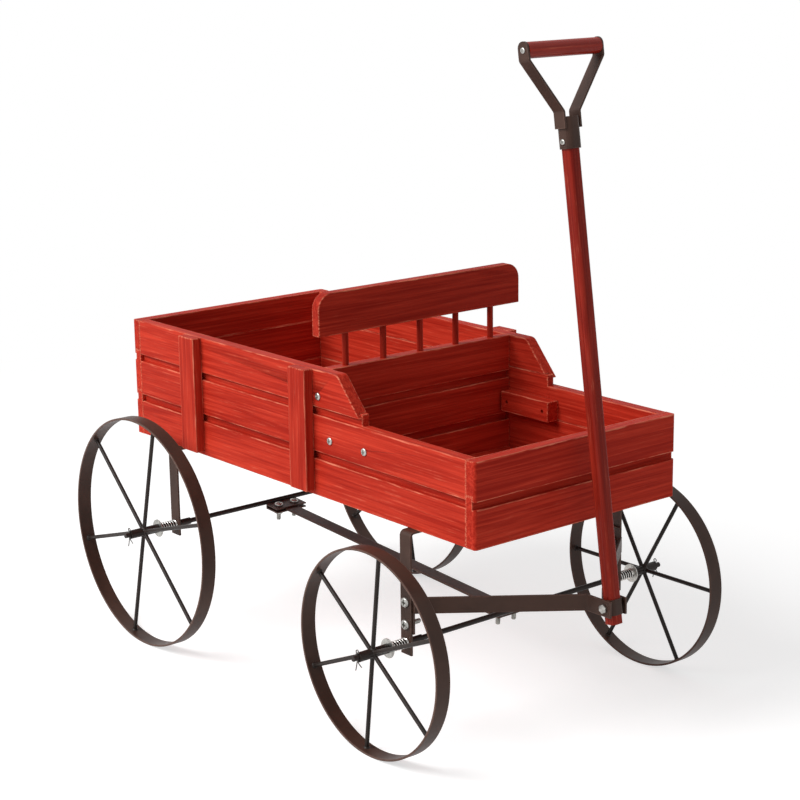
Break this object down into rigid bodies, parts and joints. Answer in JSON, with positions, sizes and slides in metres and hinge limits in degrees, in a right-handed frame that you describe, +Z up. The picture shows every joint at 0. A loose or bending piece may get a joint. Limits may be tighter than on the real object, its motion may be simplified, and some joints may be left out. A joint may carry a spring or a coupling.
{
  "type": "wagon planter stand",
  "caption": "Low wooden cart on spoked metal wheels with a hinged pull handle and two open boxes that hold plant pots.",
  "frame": {"origin": "on the ground, in the middle of the overall length and width", "axes": "+X forwards to the pull handle, +Y to the cart's left, +Z up"},
  "size_m": [0.6205, 0.3826, 0.6171],
  "materials": {
    "red_wood": "red stained fir with pale worn edges, satin",
    "dark_metal": "dark brown powder coat, satin",
    "zinc_steel": "zinc plated, slightly dull",
    "bright_spring_steel": "bright nickel plated wire"
  },
  "bodies": {
    "chassis": {"right_plank_bottom": "red_wood", "right_plank_middle": "red_wood", "right_plank_top": "red_wood", "left_plank_bottom": "red_wood", "left_plank_middle": "red_wood", "left_plank_top": "red_wood", "front_plank_bottom": "red_wood", "front_plank_top": "red_wood", "rear_plank_bottom": "red_wood", "rear_plank_middle": "red_wood", "rear_plank_top": "red_wood", "partition_bottom": "red_wood", "partition_middle": "red_wood", "partition_top": "red_wood", "rear_floor_boards": "red_wood", "front_floor_boards": "red_wood", "right_batten_rear": "red_wood", "right_batten_front": "red_wood", "left_batten_rear": "red_wood", "left_batten_front": "red_wood", "right_cleat": "red_wood", "left_cleat": "red_wood", "seat_rail": "red_wood", "spindles": "red_wood", "rear_leg_frame": "dark_metal", "front_leg_frame": "dark_metal", "rear_axle": "dark_metal", "front_axle": "dark_metal", "axle_bushes": "dark_metal", "axle_springs": "bright_spring_steel", "hub_washers": "zinc_steel", "split_pins": "bright_spring_steel", "centre_bar": "dark_metal", "rear_axle_clamp": "dark_metal", "front_axle_clamp": "dark_metal", "frame_bolts": "zinc_steel", "frame_nuts": "zinc_steel", "right_tongue_strap": "dark_metal", "left_tongue_strap": "dark_metal", "pivot_bolt": "zinc_steel", "pivot_nut": "zinc_steel", "wood_screws": "zinc_steel"},
    "wheel_rear_right": {"rear_right_rim": "dark_metal", "rear_right_spokes": "dark_metal"},
    "wheel_rear_left": {"rear_left_rim": "dark_metal", "rear_left_spokes": "dark_metal"},
    "wheel_front_right": {"front_right_rim": "dark_metal", "front_right_spokes": "dark_metal"},
    "wheel_front_left": {"front_left_rim": "dark_metal", "front_left_spokes": "dark_metal"},
    "pull_handle": {"pole": "red_wood", "pole_collar": "dark_metal", "handle_sleeve": "dark_metal", "right_handle_strap": "dark_metal", "left_handle_strap": "dark_metal", "grip": "red_wood", "grip_screws": "zinc_steel", "sleeve_bolt": "zinc_steel", "sleeve_nut": "zinc_steel"}
  },
  "joints": [
    {"name": "rear_right_wheel_spin", "type": "hinge", "parent": "chassis", "child": "wheel_rear_right", "pos_m": [-0.19225, -0.1693, 0.1175], "axis": [0, 1, 0], "continuous": true},
    {"name": "rear_left_wheel_spin", "type": "hinge", "parent": "chassis", "child": "wheel_rear_left", "pos_m": [-0.19225, 0.1693, 0.1175], "axis": [0, 1, 0], "continuous": true},
    {"name": "front_right_wheel_spin", "type": "hinge", "parent": "chassis", "child": "wheel_front_right", "pos_m": [0.17775, -0.1693, 0.095], "axis": [0, 1, 0], "continuous": true},
    {"name": "front_left_wheel_spin", "type": "hinge", "parent": "chassis", "child": "wheel_front_left", "pos_m": [0.17775, 0.1693, 0.095], "axis": [0, 1, 0], "continuous": true},
    {"name": "handle_swing", "type": "hinge", "parent": "chassis", "child": "pull_handle", "pos_m": [0.30215, 0, 0.1315], "axis": [0, 1, 0], "range_deg": [-5.4, 112]}
  ]
}
